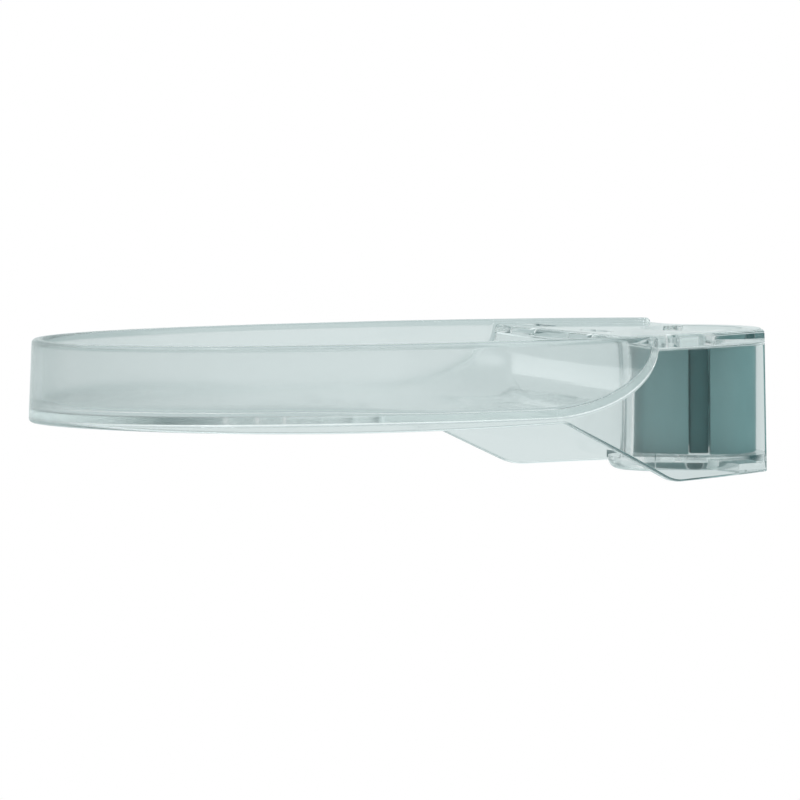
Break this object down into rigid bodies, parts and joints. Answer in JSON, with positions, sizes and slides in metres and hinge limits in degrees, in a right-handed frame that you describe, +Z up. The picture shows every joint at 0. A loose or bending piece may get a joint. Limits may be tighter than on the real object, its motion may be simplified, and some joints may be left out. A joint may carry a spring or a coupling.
{
  "type": "grab bar soap dish",
  "caption": "Clear egg-shaped soap tray with a ramped back and deep cheeks that swivels on a split bush locked to a round vertical grab bar.",
  "frame": {"origin": "on the axis of the grab bar, at the middle height of the bush that grips it", "axes": "+Z up along the bar, -Y towards the tip of the tray, +X to the right seen from the tip of the tray"},
  "size_m": [0.0918, 0.1761, 0.0325],
  "materials": {
    "clear_plastic": "clear, slightly green-grey, polished moulding",
    "grey_plastic": "satin moulded grey",
    "dark_rubber": "matt moulded rubber, dark grey",
    "brass": "turned",
    "stainless_steel": "turned"
  },
  "bodies": {
    "clamp": {"front_bush_half": "grey_plastic", "rear_bush_half": "grey_plastic", "right_grip_strip": "dark_rubber", "left_grip_strip": "dark_rubber", "threaded_insert": "brass"},
    "dish": {"dish_body": "clear_plastic"},
    "pad": {"pressure_pad": "dark_rubber"},
    "screw": {"lock_screw": "stainless_steel"}
  },
  "joints": [
    {"name": "dish_swivel", "type": "hinge", "parent": "clamp", "child": "dish", "pos_m": [0, 0, 0], "axis": [0, 0, 1], "range_deg": [-90, 90]},
    {"name": "pad_slide", "type": "slide", "parent": "clamp", "child": "pad", "axis": [-0.515, 0.8572, 0], "range_m": [0, 0.0012]},
    {"name": "screw_turn", "type": "hinge", "parent": "pad", "child": "screw", "pos_m": [0, 0, 0], "axis": [-0.515, 0.8572, 0], "range_deg": [0, 618]}
  ],
  "couplings": [
    {"joint": "screw_turn", "follows": "pad_slide", "rad_per_m": 8976}
  ]
}
